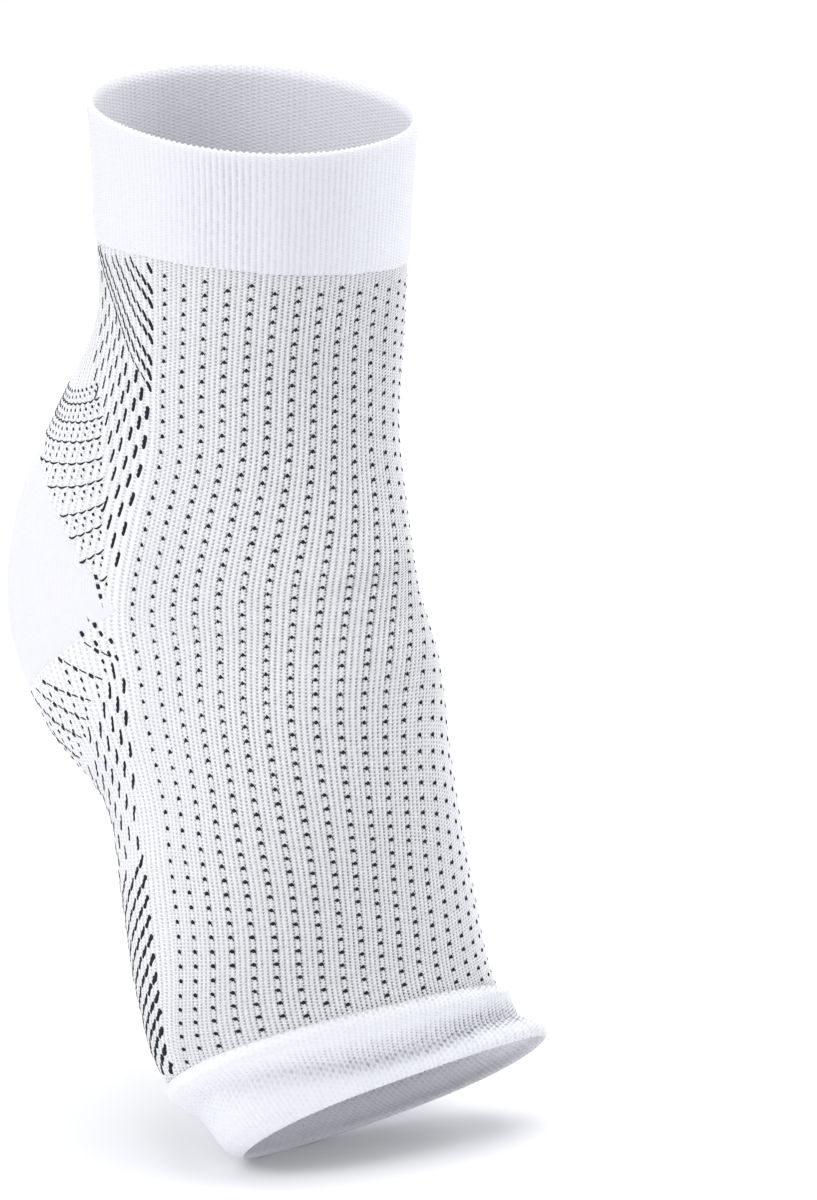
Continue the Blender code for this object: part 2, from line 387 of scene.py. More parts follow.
# THE KNITTED SLEEVE
# One tube knitted in the round, from the cuff to the toe band. Its front panel is 80 wales wide,
# each a rounded white ridge; flatter knit runs down both sides and round the back.

# Columns: station in millimetres, then the middle of the front panel and the spacing of its
# wales there, both in 1/168 of the way round
WALE_LINES = (
    (93.0, 2.3, 1.03), (78.0, 0.9, 1.01), (70.0, 0.4, 0.99), (62.0, 0.2, 0.96), (54.0, 0.0, 0.915),
    (46.0, -0.35, 0.88), (36.0, -0.9, 0.86), (22.0, -1.8, 0.86), (6.0, -2.9, 0.885),
    (-10.0, -4.3, 0.905), (-18.0, -5.2, 0.925), (-26.0, -6.5, 0.95), (-34.0, -7.6, 0.96),
    (-42.0, -8.0, 0.93), (-50.0, -7.6, 0.895), (-60.0, -6.7, 0.88), (-80.0, -5.1, 0.865),
    (-90.0, -4.6, 0.875), (-100.0, -3.8, 0.92), (-118.0, -2.9, 1.00),
)
LINE_UNITS = 168.0
LINE_SMOOTHING = (-4.0, -2.0, 0.0, 2.0, 4.0)
PANEL_HALF = 40
SIDE_WALES = 30
WALE_LIMIT = PANEL_HALF + SIDE_WALES

# Columns: station in millimetres, and the height of four courses there in millimetres
COURSE_HEIGHTS = (
    (93.5, 3.20), (75.0, 3.35), (62.0, 3.60), (50.0, 3.90), (20.0, 4.05), (0.0, 4.05),
    (-20.0, 4.10), (-50.0, 4.20), (-75.0, 4.00), (-95.0, 3.75), (-115.0, 3.40),
)

# Columns: course, and how far in millimetres its stitches lie nearer to the toe end at the middle
# of the front panel and at its edges, because the bend squeezes the front of the tube
COURSE_SAG = (
    (30.0, 0.0, 0.0), (40.0, 0.6, 0.7), (52.0, 2.1, 1.0), (64.0, 4.4, 1.8), (76.0, 7.5, 2.8),
    (88.0, 11.8, 2.2), (100.0, 15.5, 1.2), (124.0, 14.0, 0.8), (148.0, 11.8, 1.4),
    (160.0, 9.8, 1.9), (172.0, 7.0, 2.1), (184.0, 4.3, 2.1), (196.0, 2.2, 1.9), (208.0, 0.4, 1.2),
    (217.0, 0.0, 0.0),
)
SAG_FADE = 1.5


def course_table():
    """Stations in metres and the number of courses between them and the cuff."""
    places = np.array([row[0] for row in COURSE_HEIGHTS])
    heights = np.array([row[1] for row in COURSE_HEIGHTS])
    stations = np.linspace(places[0], places[-1], 2000)
    local = np.interp(-stations, -places, heights)
    courses = np.concatenate(([0.0], np.cumsum(-np.diff(stations) * 8 / (local[1:] + local[:-1]))))
    return stations / 1000, courses


STATIONS, COURSES = course_table()
LAST_COURSE = float(COURSES[-1])


def station_of(course):
    """The station of a course, carried on past both ends of the sleeve."""
    inside = np.interp(course, COURSES, STATIONS)
    before = np.minimum(course, 0.0) * 0.00080
    after = np.maximum(course - LAST_COURSE, 0.0) * 0.00085
    return inside - before - after


def station_on(wale, course):
    """Stations of places on the knit, with the sag of the courses across the front panel."""
    middle = from_table(COURSE_SAG, course) / 1000
    edge = from_table(COURSE_SAG, course, 2) / 1000
    away = np.abs(wale)
    swing = 0.5 + 0.5 * np.cos(math.pi * np.clip(away / PANEL_HALF, 0.0, 1.0))
    fade = np.clip((PANEL_HALF + SAG_FADE - away) / SAG_FADE, 0.0, 1.0)
    return station_of(course) - (edge + (middle - edge) * swing) * fade


def turn_of(wale, station):
    """Where wales run at stations, as shares of the way round from the front."""
    table = np.array(WALE_LINES)
    middle = 0.0
    pitch = 0.0
    for offset in LINE_SMOOTHING:
        place = -(station * 1000 + offset)
        middle = middle + np.interp(place, -table[:, 0], table[:, 1]) / len(LINE_SMOOTHING)
        pitch = pitch + np.interp(place, -table[:, 0], table[:, 2]) / len(LINE_SMOOTHING)
    half = LINE_UNITS / 2
    left = middle - PANEL_HALF * pitch
    right = middle + PANEL_HALF * pitch
    panel = middle + wale * pitch
    outer = left + (wale + PANEL_HALF) * (left + half) / SIDE_WALES
    inner = right + (wale - PANEL_HALF) * (half - right) / SIDE_WALES
    units = np.where(wale < -PANEL_HALF, outer, np.where(wale > PANEL_HALF, inner, panel))
    return units / LINE_UNITS


def between(net, row, column):
    """Blended values of a net at places between its rows and columns."""
    row = np.clip(row, 0.0, net.shape[0] - 1.001)
    column = np.clip(column, 0.0, net.shape[1] - 1.001)
    low_row = np.floor(row).astype(int)
    low_column = np.floor(column).astype(int)
    f = (row - low_row)[..., None]
    g = (column - low_column)[..., None]
    near = net[low_row, low_column] * (1 - g) + net[low_row, low_column + 1] * g
    far = net[low_row + 1, low_column] * (1 - g) + net[low_row + 1, low_column + 1] * g
    return near * (1 - f) + far * f


FORM_LOW = -0.130
FORM_HIGH = 0.105
FORM_STEP = 0.0005
FORM_TURNS = 840
NET_FIRST = -4.0
NET_STEP = 0.5


def dense_sheet():
    """Points and outward normals of the form over a fine net of courses and wales."""
    stations = np.arange(FORM_LOW, FORM_HIGH, FORM_STEP)
    turns = np.linspace(-0.5, 0.5, FORM_TURNS + 1)
    form_net = np.array([ring(station, turns) for station in stations])
    courses = np.arange(NET_FIRST, LAST_COURSE + 4.5, NET_STEP)
    wales = np.arange(-WALE_LIMIT, WALE_LIMIT + 0.01, NET_STEP)
    net_wales, net_courses = np.meshgrid(wales, courses)
    places = station_on(net_wales, net_courses)
    shares = turn_of(net_wales, places)
    points = between(form_net, (places - FORM_LOW) / FORM_STEP, (shares + 0.5) * FORM_TURNS)
    down = np.gradient(points, axis=0)
    across = np.gradient(points, axis=1)
    across[:, 0] = points[:, 1] - points[:, -2]
    across[:, -1] = across[:, 0]
    return points, unit(np.cross(down, across))


NET_POINTS, NET_NORMALS = dense_sheet()


def on_sheet(wale, course):
    """Points and outward normals of the form at places on the knit."""
    column = ((np.asarray(wale, dtype=float) + WALE_LIMIT) % (2 * WALE_LIMIT)) / NET_STEP
    row = (np.asarray(course, dtype=float) - NET_FIRST) / NET_STEP
    return between(NET_POINTS, row, column), between(NET_NORMALS, row, column)


# Columns: course, wales from the front's middle to the front panel's edge there, and the spacing of
# the side's columns of stitches in wales of the net, which are stretched below the heel
SIDE_COLUMNS = (
    (0.0, 40.5, 1.00), (40.0, 40.3, 1.00), (100.0, 41.0, 1.04), (113.0, 40.6, 1.14),
    (121.0, 41.3, 1.25), (129.0, 41.9, 1.58), (136.0, 42.9, 2.06), (144.0, 44.3, 2.23),
    (150.0, 44.2, 2.06), (158.0, 43.7, 1.60), (180.0, 43.6, 1.54), (220.0, 41.5, 1.50),
)


def side_wale(side, column, course):
    """The wale, on one side, of a column of stitches counted back from the front panel's edge."""
    edge = from_table(SIDE_COLUMNS, course)
    spacing = from_table(SIDE_COLUMNS, course, 2)
    return side * (edge + column * spacing)


WALE_HEIGHT = 0.00021
SIDE_HEIGHT = 0.00006


def ridge(wale, course):
    """Height of the knit's ridges over the form: high in the front panel, low at the sides."""
    edge = np.clip((side_wale(1, 0.3, course) - np.abs(wale)) / 2.0, 0.0, 1.0)
    tall = SIDE_HEIGHT + (WALE_HEIGHT - SIDE_HEIGHT) * edge
    return tall * np.cos(2 * math.pi * wale)


# The heel pocket's outline from the side: it parts the pocket from the sleeve
POCKET_CORNER = 0.016
POCKET_LIFT = -0.0015
POCKET_TOP = 0.033
UPPER_SLOPE = math.radians(40.0)
LOWER_SLOPE = math.radians(35.0)
TOP_SLOPE = math.radians(6.0)
CUT_REACH = 0.004


def pocket_lines():
    """The outline's three lines, each as a point and a direction into the pocket, in the side view."""
    climb = (POCKET_TOP - POCKET_LIFT) / math.tan(UPPER_SLOPE)
    corner = (POCKET_CORNER, POCKET_LIFT)
    knee = (POCKET_CORNER + climb, POCKET_TOP)
    return ((corner, (math.sin(UPPER_SLOPE), -math.cos(UPPER_SLOPE))),
            (knee, (math.sin(TOP_SLOPE), -math.cos(TOP_SLOPE))),
            (corner, (math.sin(LOWER_SLOPE), math.cos(LOWER_SLOPE))))


def inside_pocket(points):
    """How far points lie inside the pocket's outline, negative outside."""
    depths = []
    for (y, z), (inward_y, inward_z) in pocket_lines():
        depths.append((points[..., 1] - y) * inward_y + (points[..., 2] - z) * inward_z)
    return np.min(depths, axis=0)


def cut_along_pocket(mesh, keep_inside, margin):
    """Cut a mesh along the pocket's outline, moved out by a margin, and drop one side of it."""
    body = bmesh.new()
    body.from_mesh(mesh)
    for (y, z), (inward_y, inward_z) in pocket_lines():
        spot = Vector((0.0, y - inward_y * margin, z - inward_z * margin))
        inward = Vector((0.0, inward_y, inward_z))
        near = []
        for face in body.faces:
            centre = face.calc_center_median()
            if abs((centre - spot).dot(inward)) > CUT_REACH:
                continue
            if abs(inside_pocket(np.array(centre)) + margin) < CUT_REACH:
                near.append(face)
        parts = set(near)
        for face in near:
            parts.update(face.edges)
            parts.update(face.verts)
        bmesh.ops.bisect_plane(body, geom=list(parts), dist=1e-6, plane_co=spot, plane_no=inward)
    dropped = []
    for face in body.faces:
        depth = float(inside_pocket(np.array(face.calc_center_median()))) + margin
        if (depth < 0) == keep_inside:
            dropped.append(face)
    bmesh.ops.delete(body, geom=dropped, context="FACES")
    body.to_mesh(mesh)
    body.free()
    mesh.shade_smooth()


WALE_POINTS = 4
SLEEVE_ROWS = 160
TUCK_COURSES = 2.0
SLEEVE_WALL = 0.0012
LINING_COLUMNS = 140
LINING_ROWS = 60
GORE_WIDTH = 0.0012
GORE_DEPTH = 0.00022


def plainness(wale, course):
    """How much fainter the stitches' painted shade shows: most beside the cuff and at the sides, least
    beside the dots and at the band's seam, where it falls below 0."""
    beside_cuff = 0.75 * np.clip(1.0 - course / 7.0, 0.0, 1.0)
    toward_edge = 0.60 * np.clip((np.abs(wale) - 14.0) / 24.0, 0.0, 1.0)
    side = 0.15 * np.clip((np.abs(wale) - side_wale(1, 0.0, course)) / 2.0, 0.0, 1.0)
    seam = np.clip((course - LAST_COURSE + 1.8) / 0.6, 0.0, 1.0)
    seam = seam * (0.6 + 0.4 * np.clip(wale / 20.0, -1.0, 1.0))
    beside_dots = 0.14 * np.cos(math.pi * (wale - 2.0) / 2.0) * (np.abs(wale) < PANEL_HALF)
    return np.maximum(beside_cuff, toward_edge + side) - beside_dots * (1.0 - beside_cuff) - seam


def build_sleeve():
    """The sleeve's ridged outside and the plain inside of its wall, open at both ends."""
    wales = np.arange(-WALE_LIMIT, WALE_LIMIT, 1.0 / WALE_POINTS)
    courses = np.linspace(-TUCK_COURSES, LAST_COURSE + TUCK_COURSES, SLEEVE_ROWS)
    net_wales, net_courses = np.meshgrid(wales, courses)
    points, normals = on_sheet(net_wales, net_courses)
    height = ridge(net_wales, net_courses)
    closeness = np.abs(inside_pocket(points))
    dip = np.clip(1.0 - closeness / GORE_WIDTH, 0.0, 1.0)
    height = height * (1 - dip) - GORE_DEPTH * dip
    points = points + normals * height[..., None]
    closing = np.concatenate((wales, [wales[0] + 2 * WALE_LIMIT]))
    knit = knit_places(closing, courses, plainness(*np.meshgrid(closing, courses)))
    mesh = grid_mesh("sleeve_knit_outside", points, knit, True)
    cut_along_pocket(mesh, False, 0.0)
    material = knit_material("sleeve yarn", (0.97, 0.97, 0.99), groove_shade=0.13, hole_shade=0.44,
                             stitch_shade=0.11, course_depth=0.00028, stitch_slope=0.24)
    sleeve = add_piece("sleeve_knit_outside", mesh, material)
    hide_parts("knit_sleeve")
    wales = np.linspace(WALE_LIMIT, -WALE_LIMIT, LINING_COLUMNS, endpoint=False)
    courses = np.linspace(-TUCK_COURSES, LAST_COURSE + TUCK_COURSES, LINING_ROWS)
    net_wales, net_courses = np.meshgrid(wales, courses)
    points, normals = on_sheet(net_wales, net_courses)
    points = points - normals * SLEEVE_WALL
    knit = knit_places(np.concatenate((wales, [-WALE_LIMIT])), courses)
    mesh = grid_mesh("sleeve_knit_inside", points, knit, True)
    inside = knit_material("inside yarn", (0.80, 0.80, 0.83), groove_shade=0.20, hole_shade=0.15,
                           stitch_shade=0.04, course_depth=0.00010, stitch_slope=0.22)
    add_piece("sleeve_knit_inside", mesh, inside)


build_sleeve()


# THE DARK YARN
# Near-black yarn knitted in: small carets in half-dropped columns down the front panel, slanting
# lines and dashes at its sides, and fine wavy rows with dots behind them, above and below the heel.

DARK_HEIGHT = 0.00022
STROKE_SPREAD = (-1.0, -0.55, 0.0, 0.55, 1.0)
STROKE_RISE = (-0.9, 0.55, 1.0, 0.55, -0.9)


def dark_material():
    """Matt near-black yarn with a faint blue cast."""
    material = bpy.data.materials.new("dark yarn")
    material.use_nodes = True
    surface = material.node_tree.nodes["Principled BSDF"]
    surface.inputs["Base Color"].default_value = (0.016, 0.017, 0.024, 1.0)
    surface.inputs["Roughness"].default_value = 0.85
    surface.inputs["Specular IOR Level"].default_value = 0.2
    return material


DARK_YARN = dark_material()


def stroke_grid(path, widths):
    """Rows of points over one stroke of yarn: path holds wales and courses, widths are metres."""
    path = np.array(path, dtype=float)
    points, normals = on_sheet(path[:, 0], path[:, 1])
    points = points + normals * (ridge(path[:, 0], path[:, 1]) * 0.8)[:, None]
    side = np.cross(unit(np.gradient(points, axis=0)), normals)
    half = np.array(widths)[:, None, None] / 2
    spread = np.array(STROKE_SPREAD)[None, :, None]
    rise = np.array(STROKE_RISE)[None, :, None] * DARK_HEIGHT
    full = np.minimum(1.0, np.array(widths) / max(widths))[:, None, None]
    return points[:, None, :] + side[:, None, :] * half * spread + normals[:, None, :] * rise * full


def build_strokes(name, strokes):
    """All strokes of one kind as a single mesh."""
    vertices = []
    faces = []
    start = 0
    for path, widths in strokes:
        grid = stroke_grid(path, widths)
        count, wide = grid.shape[:2]
        vertices.append(grid.reshape(-1, 3))
        row = np.arange(count - 1)[:, None]
        column = np.arange(wide - 1)[None, :]
        quads = np.stack((row * wide + column, row * wide + column + 1,
                          (row + 1) * wide + column + 1, (row + 1) * wide + column), axis=2)
        faces.append(quads.reshape(-1, 4) + start)
        start = start + count * wide
    mesh = bpy.data.meshes.new(name)
    mesh.from_pydata(np.concatenate(vertices).tolist(), [], np.concatenate(faces).tolist())
    mesh.shade_smooth()
    return add_piece(name, mesh, DARK_YARN)


def on_sleeve(wale, course):
    """True where a place on the knit isn't within the heel pocket."""
    point, _ = on_sheet(np.array([wale]), np.array([course]))
    return float(inside_pocket(point)[0]) < -0.0006


FIRST_DOT = 6.0
DOT_STEP = 4
# Columns: course, and the size of the carets there as a share of the usual one
DOT_SIZES = ((0.0, 0.80), (60.0, 0.92), (120.0, 0.88), (170.0, 1.05), (216.0, 1.10))
# Columns: course, and how far a caret is turned there, in courses for each wale aside
DOT_TURN = ((110.0, 0.0), (145.0, 0.8))
# Columns: courses along the wedge of a caret, and its width there in metres
WEDGE = ((-0.62, 0.00028), (-0.30, 0.00085), (0.05, 0.00115), (0.35, 0.00100), (0.55, 0.00040))


def course_slant(wale, course):
    """Courses that a line square to the wale falls behind its course line, for each wale aside."""
    points, _ = on_sheet(np.array([wale, wale + 0.5, wale]),
                         np.array([course, course, course + 0.5]))
    aside = points[1] - points[0]
    along = points[2] - points[0]
    return float(aside.dot(along) / along.dot(along))


def front_dots():
    """Carets square to their wale, turned a little below the bend: a dark wedge with two arms."""
    strokes = []
    for number, wale in enumerate(range(-38, 39, DOT_STEP)):
        course = FIRST_DOT + 2.0 * (number % 2)
        while course < LAST_COURSE - 1.5:
            uneven = wavering(wale * 3.7, course * 5.3, 2.0)
            size = float(from_table(DOT_SIZES, course)) * (1.0 + 0.15 * uneven)
            middle = wale + 0.07 * uneven
            wedge = [(middle, course + along) for along, _ in WEDGE]
            strokes.append((wedge, [width * size for _, width in WEDGE]))
            arm = float(np.clip((38.5 - abs(wale)) / 12.0, 0.25, 1.0))
            slant = course_slant(wale, course) - float(from_table(DOT_TURN, course))
            parts = [([(-0.24, 0.05), (-0.24 - 0.20 * arm, 0.45),
                       (-0.24 - 0.38 * arm, 0.50 + 0.50 * arm + 0.2 * uneven)],
                      [0.00040, 0.00054 * size, 0.00018]),
                     ([(0.24, 0.05), (0.24 + 0.15 * arm, 0.30),
                       (0.24 + 0.26 * arm, 0.35 + 0.30 * arm - 0.2 * uneven)],
                      [0.00040, 0.00042 * size, 0.00018])]
            if uneven > 0.15 and arm > 0.5:
                parts.append(([(0.34, -0.70), (0.43, -0.95), (0.50, -1.20)],
                              [0.00016, 0.00030, 0.00014]))
            for places, widths in parts:
                path = [(middle + aside, course + along - slant * aside) for aside, along in places]
                strokes.append((path, widths))
            course = course + DOT_STEP
    return strokes


build_strokes("front_dots", front_dots())


# Columns: side columns behind the panel's edge, and how many courses a slanting line has risen
LINE_RISE = ((-0.5, -1.2), (0.5, 1.2), (1.6, 3.5), (3.4, 7.4), (4.8, 11.7), (5.9, 15.3), (7.5, 20.3),
             (30.0, 88.0))
LINE_ENDS = (1.3, 5.3, 11.3, 15.3, 21.3, 25.3, 31.3, 35.3)
BORDER_END = 39.0
LINE_WIDTH = 0.00115
# Columns: side column, and how bold a slanting line is there
LINE_BOLD = ((0.0, 1.45), (1.0, 1.25), (2.0, 0.90), (4.0, 0.75), (7.0, 0.60))
FIRST_COURSE = 1.2


def line_rise(column):
    """Courses that a slanting line has risen at a number of columns behind the panel's edge."""
    return float(from_table(LINE_RISE, column))


# Columns: share of the way along a short stroke, its width and its shift aside there, since a dark
# stroke is a few stitches of yarn one above the other
TICK_FORM = ((0.00, 0.45, 0.00), (0.14, 0.95, 0.03), (0.34, 0.78, -0.03), (0.52, 1.02, 0.03),
             (0.70, 0.78, -0.03), (0.88, 0.92, 0.02), (1.00, 0.40, 0.00))


def tick(side, near, far, wide):
    """A short stroke between two places on the side, each a column and a course."""
    path = []
    widths = []
    for share, width, shift in TICK_FORM:
        column = near[0] + (far[0] - near[0]) * share + shift
        course = near[1] + (far[1] - near[1]) * share
        path.append((side_wale(side, column, course), course))
        widths.append(wide * width)
    return (path, widths)


def ankle_lines():
    """Slanting lines below the cuff, on both sides, and the thin line that ends them."""
    strokes = []
    for side in (-1, 1):
        for end in LINE_ENDS + (BORDER_END,):
            thin = end == BORDER_END
            for number in range(13):
                near = (number + 0.15, end - line_rise(number + 0.02) + (0.0 if thin else 0.8))
                far = (number + 0.85, end - line_rise(number + 0.98) - 0.2)
                if far[1] < FIRST_COURSE:
                    continue
                bold = 0.60 if thin and number else float(from_table(LINE_BOLD, number))
                strokes.append(tick(side, near, far, LINE_WIDTH * bold))
    return strokes


build_strokes("ankle_lines", ankle_lines())


DASH_COURSES = 3.8
DASH_PERIOD = 7.85
DASH_WIDTH = 0.00165
# Columns: side column, and the course where its dashes end above the heel pocket's corner
ANKLE_DASHES = (
    (0.6, 90.0), (1.6, 84.0), (2.6, 77.0), (3.7, 72.0), (4.5, 60.0), (5.4, 56.0), (6.4, 51.0),
    (7.3, 48.0), (8.2, 45.0), (9.3, 43.0), (10.4, 41.0), (11.6, 39.0),
)


def ankle_dashes():
    """Upright dashes between the slanting lines and the heel, four courses on and four off."""
    strokes = []
    for side in (-1, 1):
        for number, (column, last) in enumerate(ANKLE_DASHES):
            start = 43.2 - 0.6 * number - (DASH_PERIOD / 2 if number % 2 else 0.0) - 5 * DASH_PERIOD
            border = BORDER_END - line_rise(column) - 0.5
            while start < last - 1.0:
                if start > border and on_sleeve(side_wale(-1, column, start), start + DASH_COURSES):
                    bold = DASH_WIDTH * (1.25 - 0.75 * min(1.0, column / 7.0))
                    strokes.append(tick(side, (column - 0.06, start),
                                        (column + 0.06, start + DASH_COURSES), bold))
                start = start + DASH_PERIOD
    return strokes


build_strokes("ankle_dashes", ankle_dashes())


# Columns: the side column and the course where each fine row behind the dashes starts
BACK_ROWS = (
    (9.6, 39.6), (8.3, 44.4), (7.1, 48.9), (6.7, 54.0), (5.8, 59.1), (4.9, 64.4), (3.9, 70.7),
    (3.4, 76.0), (2.5, 82.1), (1.4, 88.4),
)
ROW_WIDTH = 0.00075
# Columns: side columns behind a fine row's front end, and courses that the row has sunk there
ROW_SAG = ((0.0, 0.0), (2.0, 2.3), (3.5, 3.5), (6.0, 4.9), (9.0, 5.4))
# A fine row's width along one stitch, as shares of ROW_WIDTH
ROW_FORM = (0.5, 0.9, 1.1, 0.9, 0.5)
# Columns: courses below their fine row, and the width of the dots in metres
ROW_DOTS = ((2.0, 0.00145), (3.7, 0.00100))
FIRST_ROW = 40.0
BACK_MIDDLE = 29.8


def back_column(number, course):
    """Side column of a fine row's stitches: the heel stretches them apart towards the back."""
    stretch = 0.20 * min(1.0, max(0.0, (course - 42.0) / 20.0))
    beyond = max(0.0, number - 6.0)
    return number + stretch * beyond * min(beyond, 6.0) / 2


def row_sag(columns):
    """Courses that a fine row has sunk at a number of columns behind its front end."""
    return float(from_table(ROW_SAG, columns))


def back_rows():
    """Fine wavy rows round the back, with a row of dots and a fainter one below each."""
    strokes = []
    for side in (-1, 1):
        for start, front in BACK_ROWS:
            number = start
            while True:
                column = back_column(number, front)
                course = front + row_sag(number - start)
                if column > BACK_MIDDLE:
                    break
                after = min(back_column(number + 1.0, front), BACK_MIDDLE)
                next_course = front + row_sag(number + 1.0 - start)
                wave = [(column + 0.07, course),
                        ((column + after) / 2, (course + next_course) / 2 + 0.45),
                        (after - 0.07, next_course)]
                wale = side_wale(-1, column, course)
                if front > FIRST_ROW and on_sleeve(wale, course + 0.6):
                    path = [(side_wale(side, c, r), r) for c, r in wave]
                    path.insert(1, tuple(np.mean(path[:2], axis=0) + np.array((0.0, 0.08))))
                    path.insert(3, tuple(np.mean(path[2:4], axis=0) + np.array((0.0, 0.08))))
                    strokes.append((path, [ROW_WIDTH * share for share in ROW_FORM]))
                for drop, size in ROW_DOTS:
                    if column < BACK_MIDDLE - 0.4 and on_sleeve(wale, course + drop + 1.0):
                        strokes.append(tick(side, (column + 0.10, course + drop - 0.34),
                                            (column - 0.10, course + drop + 0.34), size))
                number = number + 1.0
    return strokes


build_strokes("back_rows", back_rows())


# Columns: side column and course of each short mark round the pocket's front corner
CORNER_MARKS = (
    (2.9, 88.6), (2.5, 90.9), (2.0, 93.2), (1.6, 95.4), (2.7, 99.6), (3.5, 98.0), (2.0, 101.6),
    (2.9, 103.4), (0.9, 103.6), (4.6, 101.0), (1.5, 106.2), (0.7, 107.4),
)


CORNER_WIDTH = 0.0020


def corner_marks():
    """Short dark marks that follow the pocket's front corner."""
    strokes = []
    for side in (-1, 1):
        for column, course in CORNER_MARKS:
            strokes.append(tick(side, (column + 0.12, course - 0.62),
                                (column - 0.12, course + 0.62), CORNER_WIDTH))
    return strokes


build_strokes("corner_marks", corner_marks())


# Columns: the side column and the course where each fine row below the heel starts, and the
# courses that it climbs with each column towards the back
SOLE_ROWS = ((1.6, 106.6, 1.30), (3.2, 110.9, 1.10), (5.4, 114.3, 0.85), (6.6, 117.7, 1.00),
             (8.2, 120.9, 1.10), (10.0, 124.5, 1.10))
SOLE_ROW_COLUMNS = 12
SOLE_STITCH_WIDTH = 0.00190
SOLE_THREAD_WIDTH = 0.00065
# Columns: courses below their fine row, and the width of the dots in metres
SOLE_DOTS = ((2.1, 0.00165), (4.0, 0.00130))


def sole_rows():
    """Fine rows below the heel, every second column a stronger stitch, with two rows of dots each."""
    strokes = []
    for side in (-1, 1):
        for start, front, climb in SOLE_ROWS:
            for number in range(SOLE_ROW_COLUMNS):
                column = start + number
                here = front - climb * number
                if side_wale(1, column + 1.0, here) > WALE_LIMIT:
                    continue
                if on_sleeve(side_wale(-1, column, here), here - 1.0):
                    if number % 2:
                        strokes.append(tick(side, (column + 0.15, here + 0.1),
                                            (column + 0.70, here - climb * 0.7),
                                            SOLE_STITCH_WIDTH))
                        for drop, size in SOLE_DOTS:
                            strokes.append(tick(side, (column + 0.05, here + drop - 0.45),
                                                (column - 0.15, here + drop + 0.45), size))
                    else:
                        strokes.append(tick(side, (column, here),
                                            (column + 0.90, here - climb), SOLE_THREAD_WIDTH))
    return strokes


build_strokes("sole_rows", sole_rows())


# Columns: side column, and the courses between which its dashes stand below the heel
SOLE_DASHES = (
    (0.5, 111.8, 152.0), (1.5, 107.9, 154.0), (2.5, 111.8, 155.0), (3.5, 115.5, 154.0),
    (4.5, 119.2, 157.0), (5.5, 122.9, 158.0), (6.5, 119.2, 158.0), (7.5, 126.0, 158.0),
    (8.5, 127.0, 156.0), (9.5, 130.0, 154.0), (10.5, 134.0, 150.0),
)
SOLE_PERIOD = 7.45


def sole_dashes():
    """Upright dashes on the sleeve's sides, from below the heel pocket's corner to the lines."""
    strokes = []
    for side in (-1, 1):
        for number, (column, first, last) in enumerate(SOLE_DASHES):
            start = 111.8 - (SOLE_PERIOD / 2 if number % 2 else 0.0)
            while start < last - 2.0:
                if start > first - 1.0 and side_wale(1, column, start) < WALE_LIMIT:
                    bold = DASH_WIDTH * (1.30 - 0.65 * min(1.0, column / 8.0))
                    strokes.append(tick(side, (column - 0.08, start),
                                        (column + 0.08, start + DASH_COURSES - 0.2), bold))
                start = start + SOLE_PERIOD
    return strokes


build_strokes("sole_dashes", sole_dashes())


FOOT_LINE_FIRST = 154.6
FOOT_LINE_STEP = 5.27
FOOT_LINES = 12
FOOT_LINE_DROP = 1.95


def foot_lines():
    """Slanting lines on the sides of the sleeve's lower part, down to the toe band."""
    strokes = []
    for side in (-1, 1):
        for line in range(FOOT_LINES + 9):
            front = FOOT_LINE_FIRST + FOOT_LINE_STEP * (line - 9)
            for number in range(18):
                near = (number + 0.05, front + FOOT_LINE_DROP * number - 0.1)
                far = (number + 0.85, front + FOOT_LINE_DROP * number + 2.35)
                if near[1] < FOOT_LINE_FIRST - 0.4 or far[1] > LAST_COURSE - 1.0:
                    continue
                if side_wale(1, far[0], far[1]) > WALE_LIMIT:
                    continue
                bold = 2.1 - 0.85 * min(1.0, number / 5.0)
                strokes.append(tick(side, near, far, LINE_WIDTH * bold))
    return strokes


build_strokes("foot_lines", foot_lines())


# THE HEEL POCKET
# A cup of plain, very fine white knit that is turned at the heel, set into the back of the sleeve
# between two gore lines. Its edge tucks under the sleeve's edge, and it is slightly padded.

POCKET_WALL = 0.0014
POCKET_ROWS = 150
POCKET_COLUMNS = 260
POCKET_FIRST = 0.055
POCKET_LAST = -0.085
POCKET_MARGIN = 0.0008
POCKET_TUCK = 0.00035
POCKET_PAD = 0.0002
POCKET_SLOPE = 0.004
POCKET_COURSE = 0.0009
POCKET_STITCH = 0.0012


def build_pocket():
    """The back half of the form, cut to the pocket's outline and given its wall."""
    turns = np.linspace(0.20, 0.80, POCKET_COLUMNS)
    stations = np.linspace(POCKET_FIRST, POCKET_LAST, POCKET_ROWS)
    points = np.array([ring(station, turns) for station in stations])
    normals = unit(np.cross(np.gradient(points, axis=0), np.gradient(points, axis=1)))
    depth = inside_pocket(points)
    rise = np.clip((depth + 0.0003) / POCKET_SLOPE, 0.0, 1.0) ** 0.5
    height = -POCKET_TUCK + (POCKET_TUCK + POCKET_PAD) * rise
    points = points + normals * height[..., None]
    girth = np.linalg.norm(np.diff(points, axis=1), axis=2).sum(axis=1).mean()
    wales = np.linspace(0.0, girth / POCKET_STITCH, POCKET_COLUMNS)
    knit = knit_places(wales, -stations / POCKET_COURSE)
    mesh = grid_mesh("heel_pocket_knit", points, knit, False)
    cut_along_pocket(mesh, True, POCKET_MARGIN)
    material = knit_material("heel yarn", (0.79, 0.79, 0.83), groove_shade=0.03, hole_shade=0.02,
                             stitch_shade=0.0, course_depth=0.00004, stitch_slope=0.2)
    pocket = add_piece("heel_pocket_knit", mesh, material)
    wall = pocket.modifiers.new("wall", "SOLIDIFY")
    wall.thickness = POCKET_WALL
    wall.offset = -1.0
    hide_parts("heel_pocket")


build_pocket()


# THE TOE BAND
# A doubled elastic edge round the sleeve's open end, in fine ribs that run on from the wales. It
# bulges beside the sleeve, sinks along its middle, where painted shade darkens its ribs, and ends in a
# bright, rounded, rolled edge that has little painted shade.

